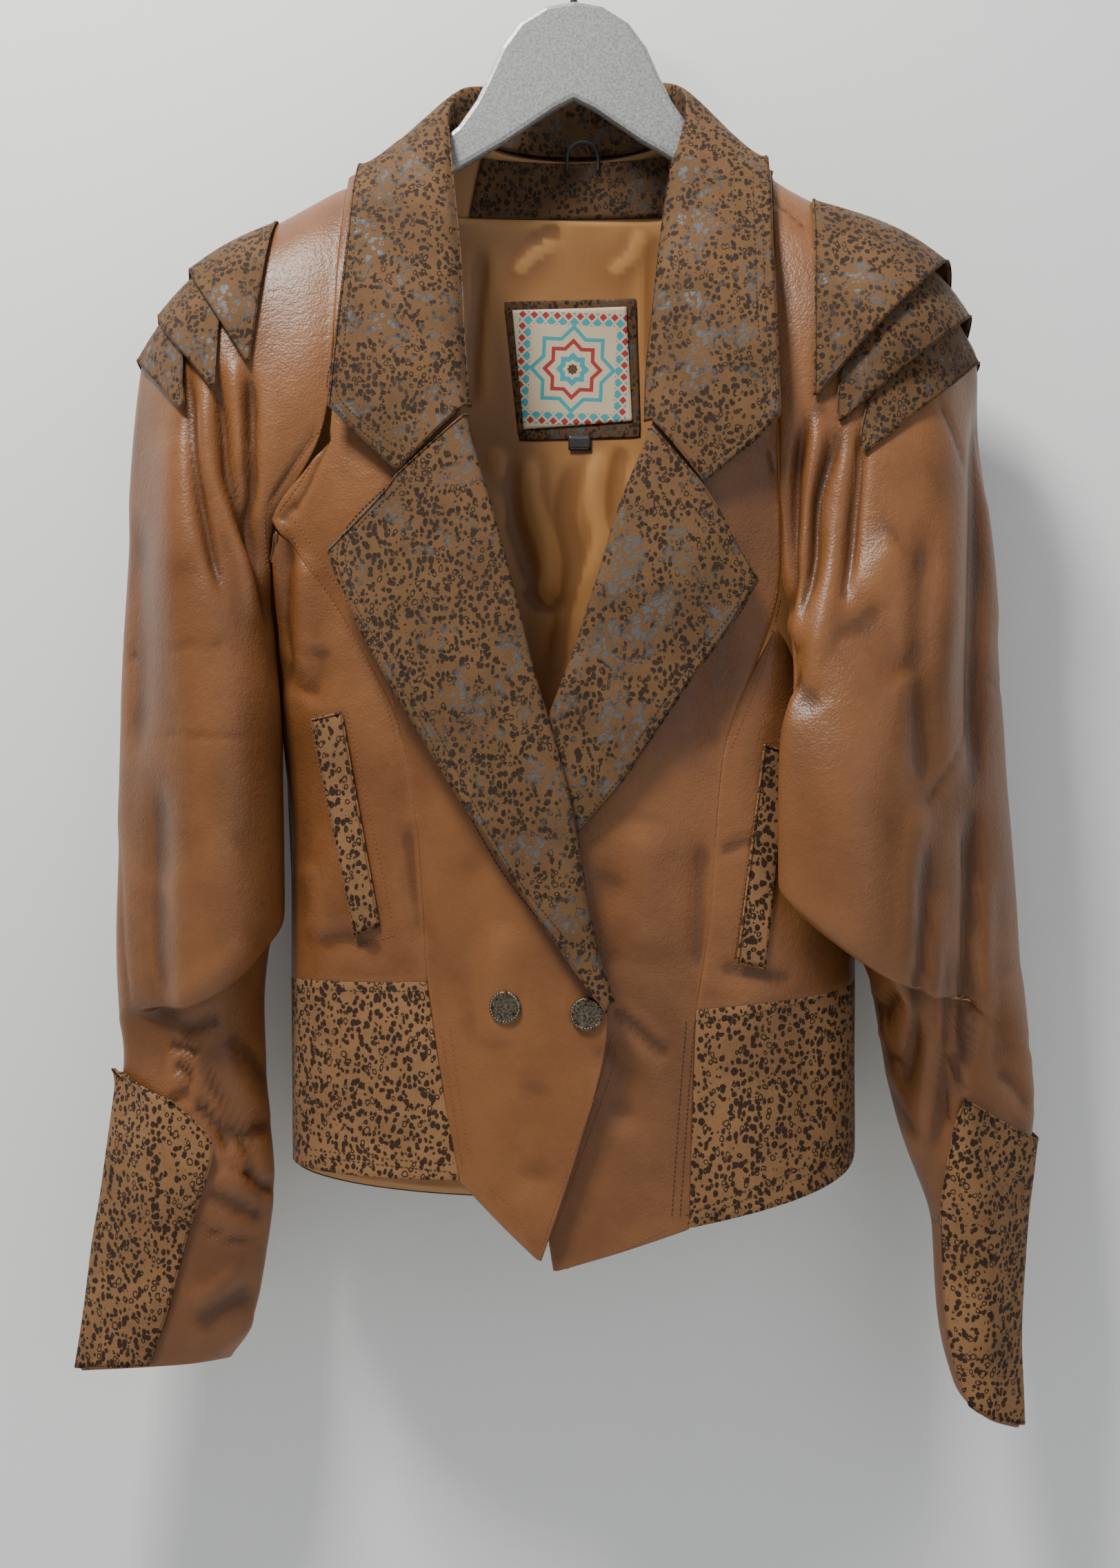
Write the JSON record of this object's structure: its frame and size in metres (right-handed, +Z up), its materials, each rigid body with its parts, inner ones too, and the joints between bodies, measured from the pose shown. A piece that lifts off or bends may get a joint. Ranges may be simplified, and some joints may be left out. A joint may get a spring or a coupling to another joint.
{
  "type": "leather coat on a hanger",
  "caption": "Cropped double-breasted leather coat with wide shoulders, spotted suede collar, lapels, shoulder flaps, hem panels and gauntlet cuffs, hanging open-necked on a moulded hanger",
  "frame": {"origin": "Inner top of the hanger's hook, where it rests on a rail", "axes": "+X to the viewer's right across the shoulders, +Y away from a viewer of the front, +Z up"},
  "size_m": [0.5892, 0.1571, 0.9261],
  "materials": {
    "aged_brass": "antique silver-brass",
    "copper_satin": "copper satin lining",
    "cream_label": "woven label",
    "dark_tape": "woven tape",
    "dark_wire": "dark plated wire",
    "silver_plastic": "moulded, silver-grey paint",
    "spotted_suede": "suede printed with small dark spots",
    "tan_leather": "smooth tan nappa, worn"
  },
  "bodies": {
    "root": {"back": "tan_leather", "collar": "spotted_suede", "cuff_panel_left": "spotted_suede", "cuff_panel_right": "spotted_suede", "flap_left_1": "spotted_suede", "flap_left_2": "spotted_suede", "flap_left_3": "spotted_suede", "flap_right_1": "spotted_suede", "flap_right_2": "spotted_suede", "flap_right_3": "spotted_suede", "front_left": "tan_leather", "front_right": "tan_leather", "hanger_body": "silver_plastic", "hanger_hook": "dark_wire", "hanger_loop": "dark_tape", "hem_panel_left": "spotted_suede", "hem_panel_right": "spotted_suede", "label": "cream_label", "label_patch": "spotted_suede", "lapel_left": "spotted_suede", "lapel_right": "spotted_suede", "lining_back": "copper_satin", "neck_facing": "spotted_suede", "pocket_welt_left": "spotted_suede", "pocket_welt_right": "spotted_suede", "side_front_left": "tan_leather", "side_front_right": "tan_leather", "size_tab": "cream_label", "sleeve_left": "tan_leather", "sleeve_right": "tan_leather", "stud_1": "aged_brass", "stud_2": "aged_brass"}
  },
  "joints": []
}
